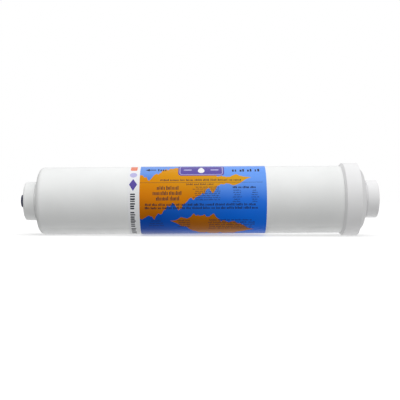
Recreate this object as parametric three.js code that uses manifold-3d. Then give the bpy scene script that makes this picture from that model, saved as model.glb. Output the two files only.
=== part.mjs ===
// Inline water filter: a sealed plastic housing packed with granular carbon, with a push-in port for
// quarter-inch tube at each end. Water enters at +X and leaves at -X.
// Millimetres, +Z up. The axis of the filter is X, and the origin is halfway along it.
import * as THREE from "three";
import { mergeVertices } from "three/addons/utils/BufferGeometryUtils.js";
import Module from "manifold-3d";

const wasm = await Module();
wasm.setup();

// ---- driving dimensions ----
const BODY_R = 25.4; // 2 inch housing tube
const WALL = 2.6;
const BORE_R = BODY_R - WALL;
const OUTLET_FACE_X = -131.9; // end face of the outlet neck
const INLET_FACE_X = 133.7; // end face of the inlet neck
const OUTLET_NECK_R = 14.6;
const INLET_NECK_R = 14.1;
const NECK_ROOT = 9.0; // from a neck's end face back to the domed end that it stands on
const CAP_R = 27.4; // skirt of the spin-welded end cap
const CAP_LIP_X = 105.6; // where the skirt's bevel meets the tube
const TUBE_END_X = 115.3;
const SLIP = 0.1; // radial gap between pieces that fit together
const GAP = 0.3; // gap between faces that rest on each other
const COLLET_TRAVEL = 1.8; // gap under a free collet's head
const COLLET_PUSH = 1.75; // how far a collet is pushed in before its head meets the neck

// Port stations are depths below the neck's end face.
const POCKET = { radius: 7.1, depth: 9.6 }; // holds the collet and its retainer
const SEAL_CHAMBER = { radius: 5.7, depth: 13.6 }; // holds the spacer and the O-ring
const SOCKET = { radius: 3.3, depth: 17.2 }; // guides the end of the tube to its stop
const WATERWAY = { radius: 2.4, depth: 18.9 };
const BOSS_R = 9.4; // inner boss around the port
const NECK_WALL = 2.4; // a neck is cored out from the inside, between its wall and the boss
const NECK_FACE = 3.0;

const ROUND = 48; // facets of the large turned pieces
const FINE = 24; // facets of the port's pieces

const COLOURS = {
  housing: { color: 0xf1f2f1, roughness: 0.42, metalness: 0 },
  label: { color: 0x2f6fd6, roughness: 0.35, metalness: 0 },
  collet: { color: 0x1c2a6b, roughness: 0.35, metalness: 0 },
  retainer: { color: 0xe9eae8, roughness: 0.4, metalness: 0 },
  steel: { color: 0xc6c9cc, roughness: 0.25, metalness: 1 },
  rubber: { color: 0x141414, roughness: 0.6, metalness: 0 },
  plate: { color: 0xf4f4f0, roughness: 0.5, metalness: 0 },
  mesh: { color: 0xdfe4e6, roughness: 0.5, metalness: 0 },
  felt: { color: 0xf2efe6, roughness: 0.95, metalness: 0 },
  foam: { color: 0xd9d6c4, roughness: 0.95, metalness: 0 },
  carbon: { color: 0x161616, roughness: 0.85, metalness: 0 },
};

const materials = {};
for (const [name, look] of Object.entries(COLOURS)) {
  materials[name] = new THREE.MeshStandardMaterial(look);
}

// ---- geometry helpers ----

// A ring or disc turned about its local Y axis. The profile is a list of [station along Y, radius].
function turned(profile, facets = ROUND) {
  const points = profile.map(([station, radius]) => new THREE.Vector2(radius, station));
  const closes = points[0].equals(points[points.length - 1]);
  const touchesAxis = points[0].x === 0 && points[points.length - 1].x === 0;
  if (!closes && !touchesAxis) points.push(points[0].clone());
  if (THREE.ShapeUtils.area(points) < 0) points.reverse();
  return new THREE.LatheGeometry(points, facets);
}

// Points of an arc in a profile, as [station, radius], from one angle to another in degrees.
function arc(station, radius, size, from, to, steps) {
  const points = [];
  for (let i = 0; i <= steps; i++) {
    const angle = THREE.MathUtils.degToRad(from + ((to - from) * i) / steps);
    points.push([station + size * Math.cos(angle), radius + size * Math.sin(angle)]);
  }
  return points;
}

function solidOf(geometry) {
  const bare = geometry.clone();
  bare.deleteAttribute("normal");
  bare.deleteAttribute("uv");
  const merged = mergeVertices(bare, 1e-4);
  return new wasm.Manifold(
    new wasm.Mesh({
      numProp: 3,
      vertProperties: merged.attributes.position.array,
      triVerts: new Uint32Array(merged.index.array),
    }),
  );
}

function geometryOf(solid) {
  const mesh = solid.getMesh();
  return new THREE.BufferGeometry()
    .setAttribute("position", new THREE.BufferAttribute(mesh.vertProperties, 3))
    .setIndex(new THREE.BufferAttribute(mesh.triVerts, 1));
}

// A box by its size and centre, turned by an angle about Y after it is moved out.
function bar(size, centre, angle = 0) {
  return new THREE.BoxGeometry(...size).translate(...centre).rotateY(angle);
}

function part(parent, name, geometry, material, station = 0) {
  const mesh = new THREE.Mesh(geometry, materials[material]);
  mesh.name = name;
  mesh.position.y = station;
  parent.add(mesh);
  return mesh;
}

// ---- housing ----

// The stepped bore of a port, from the waterway out to the neck's end face.
function portBore(faceX, inward) {
  const at = (depth) => faceX + inward * depth;
  return [
    [at(WATERWAY.depth), WATERWAY.radius],
    [at(SOCKET.depth), WATERWAY.radius],
    [at(SOCKET.depth), SOCKET.radius],
    [at(SEAL_CHAMBER.depth), SOCKET.radius],
    [at(SEAL_CHAMBER.depth), SEAL_CHAMBER.radius],
    [at(POCKET.depth), SEAL_CHAMBER.radius],
    [at(POCKET.depth), POCKET.radius],
    [at(0), POCKET.radius],
  ];
}

// The annular recess behind a neck's end face, from the inside of the end wall to the tip of the boss.
function neckCore(faceX, inward, neckR, insideX) {
  return [
    [insideX, neckR - NECK_WALL],
    [faceX + inward * NECK_FACE, neckR - NECK_WALL],
    [faceX + inward * NECK_FACE, BOSS_R],
    [faceX + inward * WATERWAY.depth, BOSS_R],
  ];
}

// Tube with its domed outlet end and neck in one moulding.
function housingTube() {
  const knuckle = 7.1;
  const knuckleX = -113.7;
  const innerKnuckle = 5;
  const endInsideX = -117.4;
  const edge = 1.2;
  const rootX = OUTLET_FACE_X + NECK_ROOT;
  return turned([
    ...portBore(OUTLET_FACE_X, 1),
    ...arc(OUTLET_FACE_X + edge, OUTLET_NECK_R - edge, edge, 180, 90, 3),
    [rootX, OUTLET_NECK_R],
    ...arc(knuckleX, BODY_R - knuckle, knuckle, 186, 90, 6),
    [TUBE_END_X, BODY_R],
    [TUBE_END_X, BORE_R],
    ...arc(endInsideX + innerKnuckle, BORE_R - innerKnuckle, innerKnuckle, 90, 180, 3),
    ...neckCore(OUTLET_FACE_X, 1, OUTLET_NECK_R, endInsideX),
  ]);
}

const CAP_INSIDE_X = 118;

// Cap with a skirt over the tube, a plug lip inside it and the inlet neck on its dome.
function endCap() {
  const bevel = 1.9;
  const shoulderX = 119.3;
  const grooveX = TUBE_END_X + GAP;
  const plugLipX = 108;
  const plugLipWall = 2.4;
  const edge = 0.7;
  const rootX = INLET_FACE_X - NECK_ROOT;
  return turned([
    ...portBore(INLET_FACE_X, -1),
    ...arc(INLET_FACE_X - edge, INLET_NECK_R - edge, edge, 0, 90, 2),
    [rootX, INLET_NECK_R],
    [122.1, 21.2],
    [120.9, 23.2],
    [shoulderX, 24.9],
    [shoulderX - 0.6, CAP_R],
    [CAP_LIP_X + bevel, CAP_R],
    [CAP_LIP_X, BODY_R + SLIP],
    [grooveX, BODY_R + SLIP],
    [grooveX, BORE_R - SLIP],
    [plugLipX, BORE_R - SLIP],
    [plugLipX, BORE_R - plugLipWall],
    [CAP_INSIDE_X, BORE_R - plugLipWall],
    ...neckCore(INLET_FACE_X, -1, INLET_NECK_R, CAP_INSIDE_X),
  ]);
}

// Label film wrapped once round the tube, with its end lapped over its start at the back (+Y).
function wrapLabel() {
  const film = 0.12;
  const inside = BODY_R + 0.05;
  const length = 104;
  const lap = 2; // facets that lie double
  const step = (2 * Math.PI) / ROUND;
  const radiusAt = (i) => inside + (i > ROUND - 1 ? film + 0.05 : 0);
  const outline = new THREE.Shape();
  const place = (i, radius) => [radius * Math.cos(i * step), radius * Math.sin(i * step)];
  outline.moveTo(...place(0, inside));
  for (let i = 1; i <= ROUND + lap; i++) outline.lineTo(...place(i, radiusAt(i)));
  for (let i = ROUND + lap; i >= 0; i--) outline.lineTo(...place(i, radiusAt(i) + film));
  const wrap = new THREE.ExtrudeGeometry(outline, { depth: length, bevelEnabled: false });
  return wrap.translate(0, 0, -length / 2).rotateX(-Math.PI / 2).rotateY(Math.PI);
}

// ---- one push-in port, with local Y pointing out of the neck and its end face at Y = 0 ----

const COLLET = {
  head: [COLLET_TRAVEL, COLLET_TRAVEL + 1.6],
  headR: 4.7,
  shankR: 4.0,
  boreR: 3.3,
  camR: 4.95,
  tipR: 4.7,
  end: -7.5,
};
const TOOTH = { at: -6.85, thick: 0.3, inner: 3.05, outer: 4.1 };

function retainer() {
  const outer = POCKET.radius - SLIP;
  const end = 0.1 - POCKET.depth;
  return turned(
    [
      [0, COLLET.shankR + 0.5],
      [-0.35, COLLET.shankR + 0.15],
      [-4.0, COLLET.shankR + 0.15],
      [-6.2, 5.1],
      [-6.2, 5.3],
      [end, 5.3],
      [end, outer],
      [-0.4, outer],
      [0, outer - 0.4],
    ],
    FINE,
  );
}

// Collet with four sprung legs. A groove inside the legs holds the steel teeth.
function collet() {
  const { head, headR, shankR, boreR, camR, tipR, end } = COLLET;
  const groove = [TOOTH.at - 0.1, TOOTH.at + TOOTH.thick + 0.1];
  const body = turned(
    [
      [end, boreR],
      [groove[0], boreR],
      [groove[0], TOOTH.outer + 0.1],
      [groove[1], TOOTH.outer + 0.1],
      [groove[1], boreR],
      [head[1] - 0.5, boreR],
      [head[1], boreR + 0.4],
      [head[1], headR - 0.4],
      [head[1] - 0.4, headR],
      [head[0], headR],
      [head[0], shankR],
      [-4.4, shankR],
      [-6.3, camR],
      [-6.9, camR],
      [end, tipR],
    ],
    FINE,
  );
  const slotWidth = 1.2;
  const slotLength = 6.2;
  let solid = solidOf(body);
  for (const angle of [0, Math.PI / 2]) {
    const slot = bar([12, slotLength, slotWidth], [0, end + slotLength / 2 - 0.5, 0], angle);
    solid = solid.subtract(solidOf(slot));
  }
  return geometryOf(solid);
}

// One steel tooth: a curved plate that covers part of one leg.
function tooth(quarter) {
  const halfArc = Math.PI / 6;
  const middle = Math.PI / 4 + (quarter * Math.PI) / 2;
  const outline = new THREE.Shape();
  outline.absarc(0, 0, TOOTH.outer, middle - halfArc, middle + halfArc, false);
  outline.absarc(0, 0, TOOTH.inner, middle + halfArc, middle - halfArc, true);
  const options = { depth: TOOTH.thick, bevelEnabled: false, curveSegments: 4 };
  return new THREE.ExtrudeGeometry(outline, options).rotateX(-Math.PI / 2);
}

function spacerRing() {
  const outer = SEAL_CHAMBER.radius - SLIP;
  const inner = SOCKET.radius + 0.05;
  return turned(
    [
      [0, inner],
      [1, inner],
      [1, outer],
      [0, outer],
    ],
    FINE,
  );
}

function oRing() {
  const section = 1.2;
  const middle = 4.3;
  return turned(arc(0, middle, section, 0, 315, 7), FINE);
}

function port(prefix, colletIn) {
  const group = new THREE.Group();
  part(group, `${prefix}_retainer`, retainer(), "retainer");
  part(group, `${prefix}_collet`, collet(), "collet", -colletIn);
  for (let i = 0; i < 4; i++) {
    part(group, `${prefix}_tooth_${i + 1}`, tooth(i), "steel", TOOTH.at - colletIn);
  }
  part(group, `${prefix}_spacer_ring`, spacerRing(), "retainer", -POCKET.depth - 1.15);
  part(group, `${prefix}_o_ring`, oRing(), "rubber", -POCKET.depth - 2.55);
  return group;
}

// ---- the packed bed and what holds it ----

const DISC_R = BORE_R - 0.3;

function disc(thickness, radius = DISC_R) {
  return turned([
    [0, 0],
    [0, radius],
    [thickness, radius],
    [thickness, 0],
  ]);
}

// A slotted plate on six radial feet. The feet stand on the -Y side.
function slottedPlate(footHeight) {
  const thickness = 2.5;
  let solid = solidOf(disc(thickness));
  const rings = [
    { count: 8, from: 5, to: 11 },
    { count: 16, from: 13, to: 20 },
  ];
  for (const { count, from, to } of rings) {
    for (let i = 0; i < count; i++) {
      const angle = ((i + 0.5) * 2 * Math.PI) / count;
      const slot = bar([to - from, 3 * thickness, 1], [(from + to) / 2, thickness / 2, 0], angle);
      solid = solid.subtract(solidOf(slot));
    }
  }
  const feet = 6;
  for (let i = 0; i < feet; i++) {
    const foot = bar([6.5, footHeight + 1, 1.6], [13, 0.5 - footHeight / 2, 0], (i * 2 * Math.PI) / feet);
    solid = solid.add(solidOf(foot));
  }
  return geometryOf(solid);
}

// ---- assembly ----

const filter = new THREE.Group();
const axial = new THREE.Group(); // local Y runs along the filter's axis, +X
axial.rotation.z = -Math.PI / 2;
filter.add(axial);

part(axial, "housing_tube", housingTube(), "housing");
part(axial, "end_cap", endCap(), "housing");
part(axial, "wrap_label", wrapLabel(), "label", -0.8);

const outletPort = port("outlet", 0);
outletPort.position.y = OUTLET_FACE_X;
outletPort.rotation.x = Math.PI;
axial.add(outletPort);

const inletPort = port("inlet", COLLET_PUSH);
inletPort.position.y = INLET_FACE_X;
axial.add(inletPort);

const plateX = -110.9;
part(axial, "outlet_support_plate", slottedPlate(6.2), "plate", plateX);

// Discs in the order that the stack is packed, each resting on the one before.
let stackX = plateX + 2.5 + GAP;
const stack = [
  ["outlet_mesh", 0.4, "mesh"],
  ["outlet_felt_pad", 5, "felt"],
  ["carbon_bed", 190, "carbon"],
  ["inlet_felt_pad", 4, "felt"],
  ["inlet_foam_pad", 12, "foam"],
];
for (const [name, thickness, material] of stack) {
  part(axial, name, disc(thickness), material, stackX);
  stackX += thickness + GAP;
}

const diffuser = part(
  axial,
  "inlet_diffuser_plate",
  slottedPlate(CAP_INSIDE_X - stackX - 2.5 - GAP),
  "plate",
  stackX + 2.5,
);
diffuser.rotation.x = Math.PI;

export default filter;
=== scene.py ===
import math
import random

import bmesh
import bpy
import numpy as np
from mathutils import Matrix, Vector, noise
from mathutils.geometry import delaunay_2d_cdt


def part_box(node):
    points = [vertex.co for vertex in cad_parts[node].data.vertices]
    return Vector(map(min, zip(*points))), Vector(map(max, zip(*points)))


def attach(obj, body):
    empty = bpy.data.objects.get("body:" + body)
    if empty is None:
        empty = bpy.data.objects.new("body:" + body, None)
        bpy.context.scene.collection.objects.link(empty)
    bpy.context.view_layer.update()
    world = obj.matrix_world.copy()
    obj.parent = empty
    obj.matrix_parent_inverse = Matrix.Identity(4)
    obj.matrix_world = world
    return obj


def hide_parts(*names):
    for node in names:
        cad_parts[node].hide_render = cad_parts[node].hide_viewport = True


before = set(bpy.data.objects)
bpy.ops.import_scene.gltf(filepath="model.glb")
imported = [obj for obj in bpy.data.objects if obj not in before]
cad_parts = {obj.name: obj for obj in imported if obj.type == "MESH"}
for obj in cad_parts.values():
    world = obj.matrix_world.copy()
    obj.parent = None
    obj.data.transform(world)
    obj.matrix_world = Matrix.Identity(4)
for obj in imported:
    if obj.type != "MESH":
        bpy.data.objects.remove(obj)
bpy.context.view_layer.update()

MM = 0.001

OUTLET_FACE = -131.9
INLET_FACE = 133.7
BODY_R = 25.4
SKIRT_R = 27.4  # the cap's skirt, the widest part
SKIRT_START = 107.5
COLLET_TRAVEL = 1.75
# Each port's name, neck face, outward direction, and how far its collet is pushed in at rest.
PORTS = (("outlet", OUTLET_FACE, -1, 0.0), ("inlet", INLET_FACE, 1, COLLET_TRAVEL))
LARGE = 192  # segments round the big turned pieces
SMALL = 96  # and round those in the ports
WELD = 1e-7  # metres between points of a turned outline that become one
AXIS_WELD = 1e-6  # the same for the points that a disc's rings share on its axis


# ---------------------------------------------------------------- materials


class Nodes:
    """A node tree. Sockets take a number, a colour or another node's output."""

    def __init__(self, tree):
        self.tree = tree

    def node(self, kind, inputs=None, **settings):
        made = self.tree.nodes.new(kind)
        for key, value in settings.items():
            setattr(made, key, value)
        for key, value in (inputs or {}).items():
            self.set(made.inputs[key], value)
        return made

    def set(self, socket, value):
        if isinstance(value, bpy.types.NodeSocket):
            self.tree.links.new(value, socket)
        else:
            socket.default_value = value

    def math(self, operation, *values):
        return self.node("ShaderNodeMath", dict(enumerate(values)), operation=operation).outputs[0]

    def ramp(self, factor, stops):
        made = self.node("ShaderNodeValToRGB", {"Fac": factor})
        elements = made.color_ramp.elements
        while len(elements) < len(stops):
            elements.new(0.5)
        for element, (position, colour) in zip(elements, stops):
            element.position = position
            element.color = (*colour, 1)
        return made.outputs["Color"]


class Shader(Nodes):
    """A material's nodes, round its Principled BSDF."""

    def __init__(self, name):
        self.material = bpy.data.materials.new(name)
        self.material.use_nodes = True
        super().__init__(self.material.node_tree)
        self.surface = self.tree.nodes["Principled BSDF"]

    def place(self):
        return self.node("ShaderNodeTexCoord").outputs["Object"]

    def noise(self, scale, detail=3.0, roughness=0.5, vector=None):
        inputs = {"Scale": scale, "Detail": detail, "Roughness": roughness}
        inputs["Vector"] = self.place() if vector is None else vector
        return self.node("ShaderNodeTexNoise", inputs).outputs["Fac"]

    def span(self, factor, low, high, start=0.3, stop=0.7):
        """Takes a factor from start to stop over to low to high."""
        inputs = {"Value": factor, "From Min": start, "From Max": stop, "To Min": low, "To Max": high}
        return self.node("ShaderNodeMapRange", inputs).outputs["Result"]

    def mix(self, factor, first, second):
        made = self.tree.nodes.new("ShaderNodeMix")
        made.data_type = "RGBA"
        factor_socket = next(i for i in made.inputs if i.name == "Factor" and i.type == "VALUE")
        colour_sockets = [i for i in made.inputs if i.type == "RGBA"]
        for socket, value in zip((factor_socket, *colour_sockets), (factor, first, second)):
            self.set(socket, value)
        return next(o for o in made.outputs if o.type == "RGBA")

    def bump(self, height, strength, distance):
        inputs = {"Height": height, "Strength": strength, "Distance": distance}
        return self.node("ShaderNodeBump", inputs).outputs["Normal"]

    def finish(self, **inputs):
        for key, value in inputs.items():
            self.set(self.surface.inputs[key.replace("_", " ")], value)
        return self.material


def near(colour, factor):
    """A colour made lighter or darker by a factor."""
    return tuple(min(1.0, c * factor) for c in colour)


def moulded_plastic(name, colour, roughness, variation=0.03, grain=0.00002, specular=0.5):
    """Injection-moulded plastic: faint flow mottling, and a fine spark-eroded grain."""
    m = Shader(name)
    mottle = m.noise(38, 4)
    grains = m.noise(2600, 2, 0.6)
    stops = [(0.3, near(colour, 1 - variation)), (0.7, near(colour, 1 + variation))]
    return m.finish(
        Base_Color=m.ramp(mottle, stops),
        Roughness=m.span(m.noise(120, 3), roughness - 0.05, roughness + 0.05),
        Normal=m.bump(grains, 0.25, grain),
        Specular_IOR_Level=specular,
    )


PAINTED_LIGHT_UP = (-0.026, 0.026)  # heights at which the inks' gradient from painted shade at the bottom to painted highlight at the top starts and ends, in metres
FADE_ALONG = (-0.034, 0.036)  # and where the inks' change from the outlet's end to the inlet's starts and ends, along the filter
PAINTED_LIGHT_STOPS = (0.2, 0.53, 0.85)  # where the painted shade, the middle shade and the painted highlight lie between the heights


def printed_film(name, colour, roughness=0.34, variation=0.04, painted_shading=None):
    """Printed plastic film: a fine dot screen, and ink that varies a little across the sheet. Given its
    shades, the ink is a soft gradient from painted shade low on the tube to a painted highlight high on it,
    and it also changes from the outlet's end of the label to the inlet's."""
    m = Shader(name)
    sheet = m.noise(26, 2)
    dots = m.noise(5200, 1, 0.4)
    tint = m.ramp(sheet, [(0.3, near(colour, 1 - variation)), (0.7, near(colour, 1 + variation))])
    if painted_shading:
        split = m.node("ShaderNodeSeparateXYZ", {"Vector": m.place()})
        # painted light: the ink is painted darker low on the tube, as shade, and lighter high on it, as a
        # highlight
        height = m.span(split.outputs["Z"], 0, 1, *PAINTED_LIGHT_UP)
        along = m.span(split.outputs["X"], 0, 1, *FADE_ALONG)
        level = m.math("ADD", height, m.span(sheet, -2 * variation, 2 * variation))
        outlet_end, inlet_end = (m.ramp(level, list(zip(PAINTED_LIGHT_STOPS, three))) for three in painted_shading)
        tint = m.mix(along, outlet_end, inlet_end)
    return m.finish(
        Base_Color=tint,
        Roughness=m.span(dots, roughness - 0.04, roughness + 0.06),
        Normal=m.bump(m.noise(90, 2), 0.12, 0.00004),
        Specular_IOR_Level=0.05,
        Sheen_Weight=0.1,
        Sheen_Roughness=0.3,
    )


def spring_steel(name):
    """Rolled stainless strip, with fine lines along the roll."""
    m = Shader(name)
    stretched = m.node("ShaderNodeMapping", {"Vector": m.place(), "Scale": (1, 14, 1)})
    lines = m.noise(3000, 2, 0.6, stretched.outputs["Vector"])
    return m.finish(
        Base_Color=m.ramp(lines, [(0.3, (0.52, 0.53, 0.55)), (0.7, (0.68, 0.69, 0.7))]),
        Roughness=m.span(lines, 0.2, 0.34),
        Metallic=1.0,
    )


def soft_rubber(name):
    """Black nitrile with a dusty bloom."""
    m = Shader(name)
    bloom = m.noise(900, 4, 0.6)
    return m.finish(
        Base_Color=m.ramp(bloom, [(0.35, (0.012, 0.012, 0.013)), (0.75, (0.035, 0.035, 0.037))]),
        Roughness=m.span(bloom, 0.5, 0.68),
        Normal=m.bump(bloom, 0.2, 0.00003),
    )


def fibrous(name, dark, light, scale, depth):
    """Matted fibres, for felt."""
    m = Shader(name)
    warped = m.node("ShaderNodeMapping", {"Vector": m.place(), "Scale": (1, 1, 4)})
    fibres = m.noise(scale, 6, 0.7, warped.outputs["Vector"])
    return m.finish(
        Base_Color=m.ramp(fibres, [(0.35, dark), (0.65, light)]),
        Roughness=0.95,
        Normal=m.bump(fibres, 0.8, depth),
        Sheen_Weight=0.3,
    )


def cellular(name, dark, light, scale, depth, roughness):
    """Rounded cells or granules, for foam and carbon."""
    m = Shader(name)
    inputs = {"Vector": m.place(), "Scale": scale}
    cells = m.node("ShaderNodeTexVoronoi", inputs).outputs["Distance"]
    return m.finish(
        Base_Color=m.ramp(cells, [(0.1, light), (0.7, dark)]),
        Roughness=m.span(m.noise(scale, 2), roughness - 0.1, roughness + 0.05),
        Normal=m.bump(cells, 0.9, depth),
    )


def woven(name, colour, pitch):
    """Plain square weave in the YZ plane."""
    m = Shader(name)
    split = m.node("ShaderNodeSeparateXYZ", {"Vector": m.place()})
    waves = []
    for axis in ("Y", "Z"):
        phase = m.math("MULTIPLY", split.outputs[axis], math.pi / pitch)
        waves.append(m.math("ABSOLUTE", m.math("SINE", phase)))
    threads = m.math("MAXIMUM", *waves)
    return m.finish(
        Base_Color=m.ramp(threads, [(0.3, near(colour, 0.5)), (0.9, colour)]),
        Roughness=0.55,
        Normal=m.bump(threads, 0.8, 0.00015),
    )


housing_white = moulded_plastic("housing_white", (0.80, 0.81, 0.805), 0.42)
cap_white = moulded_plastic("cap_white", (0.80, 0.80, 0.805), 0.4)
retainer_white = moulded_plastic("retainer_white", (0.7, 0.71, 0.7), 0.36)
plate_white = moulded_plastic("plate_white", (0.78, 0.78, 0.75), 0.5)
collet_navy = moulded_plastic("collet_navy", (0.004, 0.008, 0.06), 0.4, 0.12, 0.00001, specular=0.12)
film_white = printed_film("film_white", (0.82, 0.83, 0.845), 0.32, 0.015)
# The inks' three shades, from the bottom of the tube to the top: painted shade at the bottom, a middle one,
# and a painted highlight at the top. One set is for the outlet's end of the label and one for the inlet's.
BLUES = (
    ((0.001, 0.068, 0.42), (0.012, 0.115, 0.53), (0.15, 0.31, 0.77)),
    ((0.001, 0.15, 0.79), (0.025, 0.18, 0.78), (0.14, 0.33, 0.86)),
)
ORANGES = (
    ((0.40, 0.11, 0.001), (0.66, 0.2, 0.001), (0.66, 0.27, 0.001)),
    ((0.40, 0.13, 0.002), (0.64, 0.22, 0.001), (0.66, 0.34, 0.015)),
)
ink_blue = printed_film("ink_blue", BLUES[0][1], painted_shading=BLUES)
ink_orange = printed_film("ink_orange", ORANGES[0][1], painted_shading=ORANGES)
ink_dark = printed_film("ink_dark", (0.02, 0.022, 0.04), 0.34, 0.15)
ink_violet = printed_film("ink_violet", (0.11, 0.08, 0.36))
ink_lavender = printed_film("ink_lavender", (0.5, 0.48, 0.75))
ink_coral = printed_film("ink_coral", (0.8, 0.25, 0.16))
steel = spring_steel("steel_strip")
rubber = soft_rubber("nitrile_rubber")
felt = fibrous("felt", (0.6, 0.57, 0.48), (0.86, 0.84, 0.77), 1400, 0.0003)
foam = cellular("open_cell_foam", (0.5, 0.46, 0.34), (0.78, 0.74, 0.6), 700, 0.0006, 0.9)
carbon = cellular("carbon_granules", (0.006, 0.006, 0.007), (0.045, 0.045, 0.048), 620, 0.0008, 0.75)
mesh_cloth = woven("woven_mesh", (0.8, 0.83, 0.84), 0.0009)


# ---------------------------------------------------------------- mesh building


def new_object(name, bm, material, smooth=True):
    """Makes an object from a bmesh, with its faces pointing out. Thin and hollow shapes can be recalculated
    inside out, which their volume shows."""
    mesh = bpy.data.meshes.new(name)
    bmesh.ops.recalc_face_normals(bm, faces=bm.faces)
    if bm.calc_volume(signed=True) < 0:
        bmesh.ops.reverse_faces(bm, faces=bm.faces)
    bm.to_mesh(mesh)
    bm.free()
    mesh.materials.append(material)
    mesh.polygons.foreach_set("use_smooth", [smooth] * len(mesh.polygons))
    made = bpy.data.objects.new(name, mesh)
    bpy.context.scene.collection.objects.link(made)
    return made


def even_normals(piece):
    """Keeps flat faces flat-looking next to their small fillets."""
    modifier = piece.modifiers.new("even_normals", "WEIGHTED_NORMAL")
    modifier.keep_sharp = True
    return piece


def apply_modifiers(piece):
    with bpy.context.temp_override(object=piece, active_object=piece, selected_objects=[piece]):
        for modifier in list(piece.modifiers):
            bpy.ops.object.modifier_apply(modifier=modifier.name)


def belongs(piece, body, slot, *nodes):
    """Makes a piece ride on its body, and hides the CAD nodes that it stands for. slot is not used."""
    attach(piece, body)
    if nodes:
        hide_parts(*nodes)
    return piece


def rounded(corners, steps=5):
    """A closed outline from corners (x, r, fillet). A fillet is an arc that takes less than half a side."""
    outline = []
    count = len(corners)
    for i, (x, r, fillet) in enumerate(corners):
        corner = Vector((x, r))
        to_last = Vector(corners[i - 1][:2]) - corner
        to_next = Vector(corners[(i + 1) % count][:2]) - corner
        if not fillet:
            outline.append(corner)
            continue
        last, next_ = to_last.normalized(), to_next.normalized()
        half = last.angle(next_) / 2
        setback = min(fillet / math.tan(half), 0.49 * to_last.length, 0.49 * to_next.length)
        radius = setback * math.tan(half)
        centre = corner + (last + next_).normalized() * (radius / math.sin(half))
        start = corner + last * setback - centre
        end = corner + next_ * setback - centre
        turn = start.angle_signed(end)
        for k in range(steps + 1):
            outline.append(centre + Matrix.Rotation(-turn * k / steps, 2) @ start)
    return outline


def join_rings(bm, rings, all_round=False, closed=True):
    """Faces between each ring of vertices and the next, and from the last to the first if they go all round.
    A closed ring's last vertex is joined to its first."""
    following = rings[1:] + rings[:1] if all_round else rings[1:]
    sides = len(rings[0]) if closed else len(rings[0]) - 1
    for here, there in zip(rings, following):
        for j in range(sides):
            k = (j + 1) % len(here)
            bm.faces.new((here[j], here[k], there[k], there[j]))


def close_ends(bm, rings):
    bm.faces.new(rings[0])
    bm.faces.new(rings[-1])


def lathe(name, corners, material, segments=LARGE, steps=5, place=0.0, facing=1):
    """Turns a closed outline round the X axis. A port's outlines are drawn with x outwards from their place,
    and facing is the port's outward direction."""
    outline = rounded(corners, steps)
    bm = bmesh.new()
    rings = []
    for i in range(segments):
        angle = 2 * math.pi * i / segments
        c, s = math.cos(angle) * MM, math.sin(angle) * MM
        rings.append([bm.verts.new(((place + facing * p.x) * MM, p.y * c, p.y * s)) for p in outline])
    join_rings(bm, rings, all_round=True)
    bmesh.ops.remove_doubles(bm, verts=bm.verts, dist=WELD)
    return even_normals(new_object(name, bm, material))


# ---------------------------------------------------------------- housing and cap


def port_bore(face, inward):
    """Corners of a port's stepped bore, from the waterway's inner end out to the neck's face."""
    steps = [
        (18.9, 2.4, 0.3),  # waterway
        (17.2, 2.4, 0.0),
        (17.2, 3.3, 0.15),  # socket for the tube's end
        (13.6, 3.3, 0.2),
        (13.6, 5.7, 0.15),  # chamber for the spacer and the seal
        (9.6, 5.7, 0.15),
        (9.6, 7.1, 0.1),  # pocket for the collet and its retainer
        (0.0, 7.1, 0.25),
    ]
    return [(face + inward * depth, radius, fillet) for depth, radius, fillet in steps]


def neck_core(face, inward, radius, inside):
    """Corners of the recess behind a neck's face, which keeps its walls even."""
    return [
        (inside, radius, 0.5),
        (face + inward * 3.0, radius, 0.6),
        (face + inward * 3.0, 9.4, 0.6),
        (face + inward * 18.9, 9.4, 0.4),
    ]


def make_housing():
    """Tube, outlet dome and outlet neck in one, from the port's bore round the outside to the inside."""
    corners = port_bore(OUTLET_FACE, 1) + [
        (OUTLET_FACE, 14.6, 1.3),
        (-123.6, 14.6, 0.3),
        (-123.2, 13.8, 0.3),  # groove round the neck's root
        (-122.0, 13.8, 0.4),
        (-121.0, 17.2, 1.2),
        (-121.0, BODY_R, 7.1),
        (115.3, BODY_R, 0.2),
        (115.3, 22.8, 0.3),
        (-117.4, 22.8, 5.0),
    ]
    corners += neck_core(OUTLET_FACE, 1, 12.2, -117.4)
    housing = lathe("housing_moulding", corners, housing_white, steps=8)
    belongs(housing, "filter_body", "housing", "housing_tube")


def make_cap():
    """Inlet neck, shoulder and skirt, with a slot inside the skirt that the tube's end sits in."""
    corners = port_bore(INLET_FACE, -1) + [
        (INLET_FACE, 14.1, 0.5),
        (125.2, 14.1, 0.25),
        (124.9, 13.5, 0.2),  # groove round the neck's root
        (124.3, 13.5, 0.3),
        (124.1, 15.3, 0.3),
        (122.2, 21.2, 2.0),
        (119.3, 25.0, 0.5),
        (118.7, SKIRT_R, 0.6),
        (SKIRT_START, SKIRT_R, 0.5),
        (105.6, 25.5, 0.1),
        (115.6, 25.5, 0.1),
        (115.6, 22.7, 0.1),
        (108.0, 22.7, 0.4),
        (108.0, 20.4, 0.4),
        (118.0, 20.4, 1.2),
    ]
    corners += neck_core(INLET_FACE, -1, 11.7, 118.0)
    cap = lathe("welded_cap", corners, cap_white, steps=6)
    belongs(cap, "filter_body", "housing", "end_cap")


# ---------------------------------------------------------------- push-in ports


def make_retainer(prefix, face, outward):
    """The ring that holds a collet in its neck. Its bore narrows outwards, so that a collet that is pulled
    out closes on its tube."""
    corners = [
        (0.0, 4.5, 0.1),
        (-0.35, 4.15, 0.1),
        (-4.0, 4.15, 0.5),
        (-6.2, 5.1, 0.05),
        (-6.2, 5.3, 0.05),
        (-9.5, 5.3, 0.15),
        (-9.5, 7.0, 0.2),
        (0.0, 7.0, 0.3),
    ]
    ring = lathe(f"{prefix}_retaining_ring", corners, retainer_white, SMALL, place=face, facing=outward)
    belongs(ring, "filter_body", "retainer", f"{prefix}_retainer")


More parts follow.
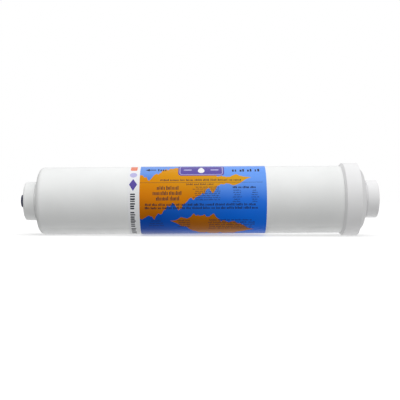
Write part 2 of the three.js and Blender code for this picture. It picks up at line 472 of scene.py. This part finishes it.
def slot_cutter(x, angle):
    """A bar that cuts two slots between a collet's fingers."""
    length, width, height = 6.2, 1.2, 12
    bm = bmesh.new()
    bmesh.ops.create_cube(bm, size=1)
    size = Matrix.Diagonal((length * MM, width * MM, height * MM, 1))
    move = Matrix.Translation((x * MM, 0, 0))
    bmesh.ops.transform(bm, matrix=move @ Matrix.Rotation(angle, 4, "X") @ size, verts=bm.verts)
    return new_object("slot_cutter", bm, collet_navy, smooth=False)


def make_collet(prefix, face, outward, push):
    """A release collet: a flanged head and four slotted fingers, whose groove holds the teeth."""
    corners = [
        (-7.5, 3.3, 0.1),
        (-6.95, 3.3, 0.0),
        (-6.95, 4.2, 0.0),
        (-6.45, 4.2, 0.0),
        (-6.45, 3.3, 0.05),
        (3.4, 3.3, 0.35),
        (3.4, 4.7, 0.4),
        (1.8, 4.7, 0.25),
        (1.8, 4.0, 0.15),
        (-4.4, 4.0, 1.0),
        (-6.3, 4.95, 0.2),
        (-6.9, 4.95, 0.2),
        (-7.5, 4.7, 0.15),
    ]
    slot_middle = -4.9
    place = face - outward * push
    collet = lathe(f"{prefix}_collet_moulding", corners, collet_navy, SMALL, place=place, facing=outward)
    cutters = [slot_cutter(place + outward * slot_middle, angle) for angle in (0, math.pi / 2)]
    for cutter in cutters:
        cut = collet.modifiers.new("slot", "BOOLEAN")
        cut.object = cutter
        cut.operation = "DIFFERENCE"
        cut.solver = "EXACT"
    collet.modifiers.move(0, len(collet.modifiers) - 1)  # the normals are evened after the cuts
    apply_modifiers(collet)
    for cutter in cutters:
        bpy.data.objects.remove(cutter)
    collet.data.set_sharp_from_angle(angle=math.radians(40))
    belongs(collet, f"{prefix}_grip", "collet", f"{prefix}_collet")


def make_teeth(prefix, face, outward, push):
    """Four steel plates whose inner edges lean inwards, so that they bite a tube that is pulled out."""
    outline = [(-6.85, 4.08), (-6.58, 4.08), (-6.58, 3.5), (-6.72, 3.12), (-6.98, 3.08), (-6.85, 3.5)]
    half_width, steps = math.radians(30), 14
    place = face - outward * push
    for quarter in range(4):
        middle = math.radians(45 + 90 * quarter)
        bm = bmesh.new()
        rings = []
        for i in range(steps + 1):
            angle = middle + half_width * (2 * i / steps - 1)
            c, s = math.cos(angle) * MM, math.sin(angle) * MM
            rings.append([bm.verts.new(((place + outward * x) * MM, r * c, r * s)) for x, r in outline])
        join_rings(bm, rings)
        close_ends(bm, rings)
        tooth = new_object(f"{prefix}_steel_tooth_{quarter + 1}", bm, steel, smooth=False)
        belongs(tooth, f"{prefix}_grip", "steel", f"{prefix}_tooth_{quarter + 1}")


def make_seal(prefix, face, outward):
    """The spacer ring and the O-ring behind it."""
    corners = [(-10.75, 3.35, 0.1), (-9.75, 3.35, 0.1), (-9.75, 5.6, 0.1), (-10.75, 5.6, 0.1)]
    spacer = lathe(f"{prefix}_washer", corners, retainer_white, SMALL, place=face, facing=outward)
    belongs(spacer, "filter_body", "retainer", f"{prefix}_spacer_ring")
    section_r, ring_r, x = 1.2, 4.3, -12.15
    sides = 24
    angles = [2 * math.pi * i / sides for i in range(sides)]
    circle = [(x + section_r * math.cos(a), ring_r + section_r * math.sin(a), 0.0) for a in angles]
    seal = lathe(f"{prefix}_seal", circle, rubber, SMALL, place=face, facing=outward)
    belongs(seal, "filter_body", "rubber", f"{prefix}_o_ring")


# ---------------------------------------------------------------- label

FILM_R = 25.45  # inside of the film
FILM = 0.06  # backing film
INK = 0.06  # printed layer on it
TURN = 2 * math.pi * (FILM_R + FILM + INK)  # once round the label's face
LABEL_X = (-52.8, 51.2)
PRINT_X = (-44.3, 48.9)
LAP = 6.6  # how far the film laps over its own start, at the back
LAP_RISE = 0.17  # how far the lap stands above the rest
LAP_RAMP = 2.5  # over what length it rises
LABEL_S = (-TURN / 2, TURN / 2 + LAP)
ROW = TURN / 144  # the label's triangles are cut this often, so that they follow the tube's curve
CUT_TOLERANCE = 1e-5
TICK_HEIGHTS = (0.72, 0.78, 1.0)  # low and tall ticks, as shares of the line's height
COLUMN_HEIGHTS = (0.84, 1.0)
# Two styles of print, as line_of_ticks takes them.
BOLD = {"weight": 0.58, "spacing": 0.5}
HEADING = {"letters": (6, 11), "weight": 0.52, "spacing": 0.34}


def face_point(x, s, radius):
    """The point at (x, s) on the label. Beyond the back seam the film rises to lie on its own start."""
    rise = LAP_RISE * min(1.0, max(0.0, (s - TURN / 2 + LAP_RAMP) / LAP_RAMP))
    angle = 2 * math.pi * s / TURN
    r = (radius + rise) * MM
    return Vector((x * MM, -r * math.cos(angle), r * math.sin(angle)))


def panel(x0, x1, low, high):
    """A rectangle's corners."""
    return [(x0, low), (x1, low), (x1, high), (x0, high)]


def line_of_ticks(start, stop, height, rng, letters=(3, 8), weight=0.5, spacing=0.5):
    """Words of small upright ticks between start and stop, for print too small to read. Gives (from, to).
    spacing is from tick to tick in heights of the line, and weight is how much of that is ink."""
    pitch = height * spacing
    ticks = []
    at = start
    while at < stop - 2 * pitch:
        for _ in range(rng.randint(*letters)):
            if at > stop - pitch:
                break
            ticks.append((at, at + pitch * weight * rng.uniform(0.8, 1.25)))
            at += pitch
        at += pitch * 0.8
    return ticks


def text_rows(x0, x1, low, high, rows, rng, fill=0.7, ragged=0.0, **letters):
    """Rows of greeked text that read along the tube. fill is a line's height as a share of its row, and a
    ragged row is shorter by up to that much at each end."""
    marks = []
    pitch = (high - low) / rows
    tall = pitch * fill
    for row in range(rows):
        foot = high - pitch * (row + 0.5) - tall / 2
        start, stop = x0 + rng.uniform(0, ragged), x1 - rng.uniform(0, ragged)
        for a, b in line_of_ticks(start, stop, tall, rng, **letters):
            marks.append(panel(a, b, foot, foot + tall * rng.choice(TICK_HEIGHTS)))
    return marks


def text_column(x0, x1, low, high, rng, **letters):
    """A line of greeked text that reads down the tube's side."""
    marks = []
    for a, b in line_of_ticks(-high, -low, x1 - x0, rng, **letters):
        marks.append(panel(x0, x0 + (x1 - x0) * rng.choice(COLUMN_HEIGHTS), -b, -a))
    return marks


def ellipse(x, s, half_x, half_s, count=40):
    turns = [2 * math.pi * i / count for i in range(count)]
    return [(x + half_x * math.cos(a), s + half_s * math.sin(a)) for a in turns]


def rounded_panel(x0, x1, low, high, radius, steps=6):
    loop = []
    for cx, cs, start in ((x1, high, 0), (x0, high, 90), (x0, low, 180), (x1, low, 270)):
        for k in range(steps + 1):
            a = math.radians(start + 90 * k / steps)
            inward_x = radius if cx == x0 else -radius
            inward_s = radius if cs == low else -radius
            loop.append((cx + inward_x + radius * math.cos(a), cs + inward_s + radius * math.sin(a)))
    return loop


def arrow(tip, tail, s, half_head=1.9, half_shaft=0.6, head_share=0.4):
    """An arrow that points along the tube, from its tail to its tip. head_share is how much of it is head."""
    neck = tip + (tail - tip) * head_share
    upper = [(tip, s), (neck, s + half_head), (neck, s + half_shaft), (tail, s + half_shaft)]
    return upper + [(x, 2 * s - at) for x, at in reversed(upper[1:])]


def droplet(x, s, size, count=32):
    """A water drop with its point towards +s."""
    fatness, taper = 0.72, 1.1
    loop = []
    for i in range(count):
        a = 2 * math.pi * i / count
        width = size * fatness * math.sin(a) * math.sin(a / 2) ** taper
        loop.append((x + width, s + size * math.cos(a)))
    return loop


# Drifts of orange over the blue, two on the front and two round the back: (x, s, half width) down the middle
# of each, from low x to high. The ones that start or end past the print run off its edge.
ORANGE_DRIFTS = (
    ((-50, 1, 11), (-28, 8, 15), (-8, 15, 13), (14, 15, 7), (38, 18, 0)),
    ((-22, -16, 0), (-6, -20, 6), (16, -25, 9), (40, -26, 0)),
    ((-50, 64, 8), (-20, 60, 6), (10, 66, 7), (32, 70, 0)),
    ((-26, -66, 0), (-8, -64, 5), (24, -58, 6), (56, -60, 8)),
)
TEAR_WAVES = ((14.0, 0.7), (5.0, 0.5), (1.6, 0.2))  # length in mm, and share of the half width
TEAR_STEP = 0.6


def torn(x, seed):
    """How much wider than its half width a drift is at x, on one side, as a share of it."""
    return sum(share * noise.noise(Vector((x / size, seed, 0.5))) for size, share in TEAR_WAVES)


def drift(spine, seed):
    """A patch with torn edges. Both edges are functions of x, so that the outline can't cross itself."""
    stations, middles, halves = zip(*spine)
    above, below = [], []
    for x in np.arange(stations[0], stations[-1], TEAR_STEP):
        middle, half = np.interp(x, stations, middles), np.interp(x, stations, halves)
        above.append((x, middle + half * (1 + torn(x, seed))))
        if half:
            below.append((x, middle - half * (1 + torn(x, seed + 0.5))))
    return above + [(stations[-1], middles[-1])] + below[::-1]


def covers(loop, spots):
    """Which of the spots lie inside a loop, by counting the edges to their right."""
    x, s = spots[:, 0], spots[:, 1]
    (x_low, s_low), (x_high, s_high) = np.min(loop, axis=0), np.max(loop, axis=0)
    near_it = np.flatnonzero((x > x_low) & (x < x_high) & (s > s_low) & (s < s_high))
    x, s = x[near_it], s[near_it]
    odd = np.zeros(len(near_it), bool)
    for (x1, s1), (x2, s2) in zip(loop, loop[1:] + loop[:1]):
        if s1 != s2:
            odd ^= ((s1 > s) != (s2 > s)) & (x < x1 + (x2 - x1) * (s - s1) / (s2 - s1))
    return near_it[odd]


def inked(ink, *loops):
    """Pairs each loop with its ink."""
    return [(ink, loop) for loop in loops]


def grounds():
    """Blue print, drifts of orange on it, and the film left white at both ends."""
    low_x, high_x = PRINT_X
    drifts = [drift(spine, seed) for seed, spine in enumerate(ORANGE_DRIFTS)]
    ends = [panel(LABEL_X[0], low_x, *LABEL_S), panel(high_x, LABEL_X[1], *LABEL_S)]
    return inked("blue", panel(*PRINT_X, *LABEL_S)) + inked("orange", *drifts) + inked("white", *ends)


def flow_mark(rng):
    """An arrow towards the outlet, and its caption."""
    caption = text_rows(-31, -20, 25.5, 29.5, 1, rng, 0.86, letters=(4, 5), **BOLD)
    return inked("dark", arrow(-40.5, -32.5, 27.5), *caption)


def badge():
    """A plain panel with an inline, and a water drop between two bars."""
    bars = [rounded_panel(x0, x0 + 6, 26.5, 28, 0.5) for x0 in (-12, 8)]
    return [
        *inked("violet", rounded_panel(-16, 18, 20, 35.5, 2.5)),
        *inked("lavender", rounded_panel(-15, 17, 21, 34.5, 2)),
        *inked("violet", rounded_panel(-14.5, 16.5, 21.5, 34, 1.5)),
        *inked("white", droplet(1, 27.5, 4.5)),
        *inked("lavender", *bars),
    ]


def upper_print(rng):
    """A code at the right, and two lines with a rule between them."""
    code = text_rows(24, 46, 24, 29, 1, rng, 0.8, letters=(2, 5), **BOLD)
    upper_line = text_rows(-29, 31, 14.5, 17, 1, rng, 0.74)
    rule = panel(-44, 46, 13.4, 13.65)
    lower_line = text_rows(-10, 11, 11, 13, 1, rng, 0.74)
    return inked("dark", *code, *upper_line, rule, *lower_line)


def middle_print(rng):
    """A heading of three lines, a paragraph, a table with its own heading, and two long lines below them."""
    marks = []
    for x0, x1, foot in ((-31.5, -15, 7.5), (-34.5, -11.5, 3.5), (-32, -14, -0.5)):
        marks += text_rows(x0, x1, foot, foot + 3.5, 1, rng, 0.86, **HEADING)
    marks += text_rows(-5.5, 16.5, -0.5, 10.5, 7, rng, 0.68, 2.6, weight=0.46)
    marks += text_rows(24, 43, 8.5, 10.5, 1, rng, 0.84, weight=0.66)
    for x0, x1 in ((24, 31.5), (37.5, 43.5)):
        marks += text_rows(x0, x1, -2, 8, 6, rng, 0.62, 1.2, weight=0.46)
    marks += text_rows(-41.5, 43.5, -7, -2, 2, rng, 0.72, 1.5, weight=0.6)
    return inked("dark", *marks)


def lower_print(rng):
    """Three notes near the bottom of the front."""
    marks = text_rows(-17, -6.5, -23, -15, 4, rng, 0.68, 1.4)
    marks += text_rows(4.5, 41, -25.5, -14.5, 5, rng, 0.68, 3.0)
    marks += text_rows(-38, -26, -22, -15, 3, rng, 0.6, 2.0, weight=0.4)
    return inked("dark", *marks)


def back_panel(rng):
    """A white panel with two columns of instructions, round the back."""
    middle = TURN / 2 - 14
    marks = []
    for x0, x1 in ((-35, -2), (4, 39)):
        marks += text_rows(x0, x1, middle - 7.5, middle + 7.5, 7, rng, 0.5, 3.0)
    return inked("white", rounded_panel(-38, 42, middle - 9, middle + 9, 1.4)) + inked("dark", *marks)


def margin_marks(rng):
    """Three coloured marks and a column of dark print, on the white margin."""
    diamond = [(-49, 7), (-46, 12), (-49, 17), (-52, 12)]
    return [
        *inked("coral", rounded_panel(-51.5, -46.5, 26.5, 35, 1.2)),
        *inked("lavender", ellipse(-49, 21, 2.7, 2.6)),
        *inked("violet", diamond),
        *inked("dark", *text_column(-51, -47.5, -36, 5, rng, letters=(4, 8), **BOLD)),
    ]


def label_regions():
    """(ink, outline) for every printed patch, each over those before it."""
    rng = random.Random(7)
    return [
        *inked("white", panel(*LABEL_X, *LABEL_S)),
        *grounds(),
        *flow_mark(rng),
        *badge(),
        *upper_print(rng),
        *middle_print(rng),
        *lower_print(rng),
        *back_panel(rng),
        *margin_marks(rng),
    ]


INKS = {
    "white": film_white,
    "blue": ink_blue,
    "orange": ink_orange,
    "dark": ink_dark,
    "violet": ink_violet,
    "lavender": ink_lavender,
    "coral": ink_coral,
}


def thick_sheet(name, triangles, inner, outer, material):
    """A closed sheet over some of the label's triangles, curved round the tube, with a wall along each edge
    that only one of them has."""
    bm = bmesh.new()
    spots = {}

    def vertex(spot, radius):
        key = (spot, radius)
        if key not in spots:
            spots[key] = bm.verts.new(face_point(*spot, radius))
        return spots[key]

    edges = {}  # a dict and not a set, to keep their order
    for triangle in triangles:
        bm.faces.new([vertex(p, outer) for p in triangle])
        bm.faces.new([vertex(p, inner) for p in reversed(triangle)])
        edges.update(dict.fromkeys(zip(triangle, triangle[1:] + triangle[:1])))
    for a, b in edges:
        if (b, a) not in edges:
            bm.faces.new((vertex(b, outer), vertex(a, outer), vertex(a, inner), vertex(b, inner)))
    sheet = new_object(name, bm, material)
    sheet.data.set_sharp_from_angle(angle=math.radians(30))
    return sheet


def label_triangles(regions):
    """Cuts the label into triangles along every patch's outline. Gives them and their middles."""
    low, high = LABEL_S
    x0, x1 = LABEL_X
    points, lines = [], []
    rows = round((high - low) / ROW)
    for i in range(rows + 1):
        s = low + (high - low) * i / rows
        points += [(x0, s), (x1, s)]
        lines.append((len(points) - 2, len(points) - 1))
    for _, loop in regions:
        first, count = len(points), len(loop)
        points += loop
        lines += [(first + i, first + (i + 1) % count) for i in range(count)]
    spots, _, faces, *_ = delaunay_2d_cdt([Vector(p) for p in points], lines, [], 0, CUT_TOLERANCE)
    triangles = [tuple((round(spots[i].x, 6), round(spots[i].y, 6)) for i in face) for face in faces]
    middles = np.mean(np.array(triangles), axis=1)
    on_label = covers(panel(x0, x1, low, high), middles)
    return [triangles[i] for i in on_label], middles[on_label]


def make_label():
    """Backing film with the inks laid on it edge to edge, like marquetry, each a piece of its own."""
    regions = label_regions()
    triangles, middles = label_triangles(regions)
    inks = np.full(len(triangles), "white", dtype=object)
    for ink, loop in regions:
        inks[covers(loop, middles)] = ink
    backing = thick_sheet("label_backing", triangles, FILM_R, FILM_R + FILM, film_white)
    belongs(backing, "filter_body", "label", "wrap_label")
    for ink in sorted(INKS):
        printed = [triangle for triangle, own in zip(triangles, inks) if own == ink]
        layer = thick_sheet(f"label_{ink}_print", printed, FILM_R + FILM, FILM_R + FILM + INK, INKS[ink])
        belongs(layer, "filter_body", "label")


# ---------------------------------------------------------------- what the housing holds


def granular(point, grain):
    """Depth of the surface below its highest grains, from 0 to 1."""
    return min(1.0, noise.voronoi(point / grain)[0][0])


def matted(point, grain):
    """Depth of a surface of tangled fibres, from about 0 to 1."""
    return 0.5 - 0.5 * noise.fractal(point / grain, 0.8, 2.0, 3)


def disc_outline(low, high, pitch, bulge):
    """Half a disc's section: out along one face, along the rim, and back in along the other face."""
    radius, length = high.y, high.x - low.x
    across = max(6, round(radius / pitch))
    along = max(4, round(length / pitch))
    face = [(low.x, radius * k / across) for k in range(across)]
    rim = []
    for k in range(along + 1):
        part = 2 * k / along - 1
        rim.append((low.x + length * k / along, radius - bulge * part * part))
    return face + rim + [(high.x, r) for _, r in reversed(face)]


def packed_disc(name, node, material, slot, surface, grain, depth, pitch, bulge=0.0):
    """A pad or bed that fills its node's round space. Its surface sinks from there by up to depth, though a
    few fibres of felt stand out by hundredths of a millimetre. With a bulge, the rim is rounded, as on a pad
    that is pressed between two plates."""
    low, high = (Vector(corner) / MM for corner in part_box(node))
    radius = high.y

    def sunk(x, r, angle):
        spot = Vector((x, r * math.cos(angle), r * math.sin(angle)))
        sink = depth * surface(spot, grain)
        at_end = min(spot.x - low.x, high.x - spot.x) < 0.5 * pitch
        if at_end:
            spot.x += sink if spot.x < (low.x + high.x) / 2 else -sink
        if r > radius - bulge - 0.5 * pitch:
            spot.yz = spot.yz * (1 - sink / radius)
        return spot * MM

    outline = disc_outline(low, high, pitch, bulge)
    count = round(2 * math.pi * radius / pitch)
    bm = bmesh.new()
    rings = []
    for i in range(count):
        angle = 2 * math.pi * i / count
        rings.append([bm.verts.new(sunk(x, r, angle)) for x, r in outline])
    join_rings(bm, rings, all_round=True, closed=False)
    bmesh.ops.remove_doubles(bm, verts=bm.verts, dist=AXIS_WELD)
    disc = new_object(name, bm, material, smooth=surface is matted)
    return belongs(disc, "filter_body", slot, node)


def make_screen(name, node, pitch=1.3, thread=0.16):
    """A woven screen inside a pressed rim. Each thread passes over and under the ones that cross it."""
    low, high = (Vector(corner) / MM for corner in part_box(node))
    middle, radius = (low.x + high.x) / 2, high.y
    sway = (high.x - low.x) / 2 - thread * 0.55
    reach = radius - 0.8
    bm = bmesh.new()

    def add_thread(number, upright):
        """The thread that lies this many pitches from the middle, upright or across."""
        offset = number * pitch
        half = math.sqrt(reach * reach - offset * offset)
        steps = max(4, round(4 * half / pitch))
        rings = []
        for k in range(steps + 1):
            t = half * (2 * k / steps - 1)
            lift = sway * math.cos(math.pi * (t / pitch + number)) * (-1 if upright else 1)
            ring = []
            for dx, ds in ((-1, -1), (1, -1), (1, 1), (-1, 1)):
                x, s = middle + lift + dx * thread * 0.4, offset + ds * thread
                ring.append(bm.verts.new(Vector((x, s, t) if upright else (x, t, s)) * MM))
            rings.append(ring)
        join_rings(bm, rings)
        close_ends(bm, rings)

    half_count = int(reach / pitch)
    for number in range(-half_count, half_count + 1):
        for upright in (False, True):
            add_thread(number, upright)
    threads = new_object(name, bm, mesh_cloth, smooth=False)
    belongs(threads, "filter_body", "mesh", node)
    inside = reach - 0.1
    edge = [(low.x, inside, 0.1), (high.x, inside, 0.1), (high.x, radius, 0.15), (low.x, radius, 0.15)]
    rim = lathe(f"{name}_rim", edge, plate_white, SMALL, steps=3)
    belongs(rim, "filter_body", "mesh")


def make_filling():
    """The bed, the screen and the pads, and a finish for the two plates, which keep their CAD shapes."""
    packed_disc("carbon_granule_bed", "carbon_bed", carbon, "carbon", granular, 1.9, 0.9, 1.0)
    make_screen("outlet_screen", "outlet_mesh")
    for name, node in (("outlet_felt", "outlet_felt_pad"), ("inlet_felt", "inlet_felt_pad")):
        packed_disc(name, node, felt, "felt", matted, 1.4, 0.25, 0.7, bulge=0.5)
    foam_pad = packed_disc("inlet_foam", "inlet_foam_pad", foam, "foam", granular, 1.1, 0.5, 0.7, bulge=0.9)
    for plate in ("outlet_support_plate", "inlet_diffuser_plate"):
        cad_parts[plate].material_slots[0].material = plate_white


# ---------------------------------------------------------------- the object

make_housing()
make_cap()
make_label()
for prefix, face, outward, push in PORTS:
    make_retainer(prefix, face, outward)
    make_collet(prefix, face, outward, push)
    make_teeth(prefix, face, outward, push)
    make_seal(prefix, face, outward)
make_filling()


# ---------------------------------------------------------------- floor, light and camera

FLOOR_GAP = 0.1  # between the cap's skirt and the floor
FLOOR_REACH = 6  # metres from the middle to each side
TUBE_REST = -114.0  # where the tube meets the floor, but for the gap


def make_floor():
    """Pale sweep. The filter rests on the cap's skirt and on the far end of the tube, so the sweep leans."""
    lean = math.atan2(SKIRT_R - BODY_R, SKIRT_START - TUBE_REST)
    bm = bmesh.new()
    bmesh.ops.create_grid(bm, x_segments=1, y_segments=1, size=FLOOR_REACH)
    turn = Matrix.Rotation(lean, 4, "Y")
    rest = Matrix.Translation((SKIRT_START * MM, 0, -(SKIRT_R + FLOOR_GAP) * MM))
    bmesh.ops.transform(bm, matrix=rest @ turn, verts=bm.verts)
    m = Shader("pale_floor")
    material = m.finish(
        Base_Color=m.ramp(m.noise(3, 2), [(0.3, (0.61, 0.61, 0.61)), (0.7, (0.64, 0.64, 0.64))]),
        Roughness=0.9,
        Specular_IOR_Level=0.1,
        Emission_Color=(1, 1, 1, 1),
        Emission_Strength=0.42,
    )
    floor = new_object("floor", bm, material, smooth=False)
    floor.visible_diffuse = False
    floor.visible_glossy = False


def area_light(name, place, target, size, power):
    data = bpy.data.lights.new(name, "AREA")
    data.shape = "RECTANGLE"
    data.size, data.size_y = size
    data.energy = power
    light = bpy.data.objects.new(name, data)
    bpy.context.scene.collection.objects.link(light)
    light.location = place
    light.rotation_euler = (Vector(target) - Vector(place)).to_track_quat("-Z", "Y").to_euler()


# The studio is a fill and three soft lights round the filter's axis: where each is, in degrees from the
# camera's side upwards over the top, then how far it spreads, and how bright it is.
FILL = 0.2
SOFT_LIGHTS = (
    (54, 68, 1.78),  # over the front
    (130, 38, 0.78),  # over the back
    (238, 32, 2.8),  # low behind
)
ENDS_SHADE = 0.84  # how much darker the studio is straight along the filter's axis
LEAN = 0.14  # how much brighter it is past the inlet than midway, and darker past the outlet
LIGHT_STEP = 15  # degrees


def studio_level(degrees):
    """Brightness of the studio at an angle round the filter's axis."""
    level = FILL
    for centre, spread, power in SOFT_LIGHTS:
        away = (degrees - centre + 180) % 360 - 180
        level += power * math.exp(-((away / spread) ** 2))
    return level


def make_world():
    """Soft light from above and behind, darker below the camera and past the filter's ends. The backdrop is
    plain white."""
    world = bpy.data.worlds.new("studio")
    bpy.context.scene.world = world
    world.use_nodes = True
    world.node_tree.nodes.clear()
    w = Nodes(world.node_tree)
    direction = w.node("ShaderNodeTexCoord").outputs["Generated"]
    x, y, z = w.node("ShaderNodeSeparateXYZ", {"Vector": direction}).outputs
    angle = w.math("ARCTAN2", z, w.math("MULTIPLY", y, -1.0))
    # from 0 straight down to 1 once round, by way of the camera's side
    turns = w.math("FRACT", w.math("MULTIPLY_ADD", angle, 0.5 / math.pi, 0.25))
    angles = range(-90, 271, LIGHT_STEP)
    stops = [((degrees + 90) / 360, (studio_level(degrees),) * 3) for degrees in angles]
    shaded = w.math("MULTIPLY_ADD", w.math("ABSOLUTE", x), -ENDS_SHADE, 1.0)
    leaning = w.math("MULTIPLY_ADD", x, LEAN, shaded)
    studio = w.node("ShaderNodeBackground", {"Color": w.ramp(turns, stops), "Strength": leaning})
    backdrop = w.node("ShaderNodeBackground", {"Color": (1, 1, 1, 1), "Strength": 1.0})
    straight = w.node("ShaderNodeLightPath").outputs["Is Camera Ray"]
    mix = w.node("ShaderNodeMixShader", {0: straight, 1: studio.outputs[0], 2: backdrop.outputs[0]})
    w.node("ShaderNodeOutputWorld", {"Surface": mix.outputs[0]})


def make_camera():
    """Level with the filter and square to its middle, rolled a little."""
    distance, focal, roll = 0.613, 72.5, 0.35  # metres, millimetres, degrees
    data = bpy.data.cameras.new("camera")
    data.lens = focal
    data.sensor_width = 36
    data.clip_start, data.clip_end = 0.01, 50
    camera = bpy.data.objects.new("camera", data)
    bpy.context.scene.collection.objects.link(camera)
    camera.location = (0, -distance, 0)
    camera.rotation_euler = (math.radians(90), math.radians(roll), 0)
    bpy.context.scene.camera = camera


make_floor()
make_world()
area_light("overhead", (0.0, -0.35, 0.8), (0, 0, 0), (1.2, 0.5), 0.25)
make_camera()
bpy.context.scene.view_settings.view_transform = "Standard"
